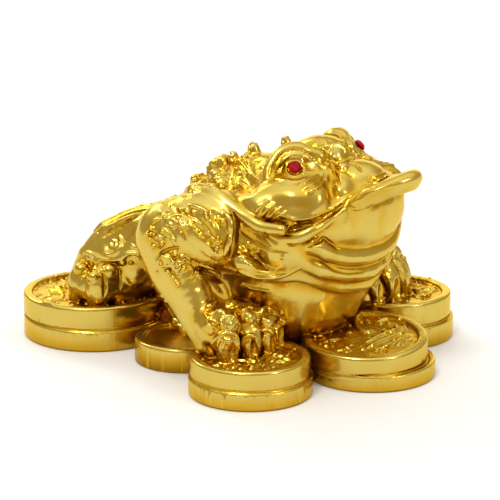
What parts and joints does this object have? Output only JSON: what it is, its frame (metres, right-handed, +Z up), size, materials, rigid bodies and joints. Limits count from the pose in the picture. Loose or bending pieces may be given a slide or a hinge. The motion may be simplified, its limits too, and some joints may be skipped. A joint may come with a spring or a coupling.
{
  "type": "money toad figure",
  "caption": "Squat toad with a wide mouth, round eye stones and one thick rear leg, resting on piled coins, for display on a desk or shelf.",
  "frame": {"origin": "middle of the bounding box at the surface the coins stand on", "axes": "+Z up, the toad looks along -Y, +X is the toad's left"},
  "size_m": [0.0934, 0.1154, 0.0606],
  "materials": {
    "gold_paint": "satin-gloss metallic gold paint over cast resin, browner in the grooves",
    "red_stone": "polished faceted red stone"
  },
  "bodies": {
    "root": {"toad_on_coins": "gold_paint", "eye_stone_right": "red_stone", "eye_stone_left": "red_stone"}
  },
  "joints": []
}
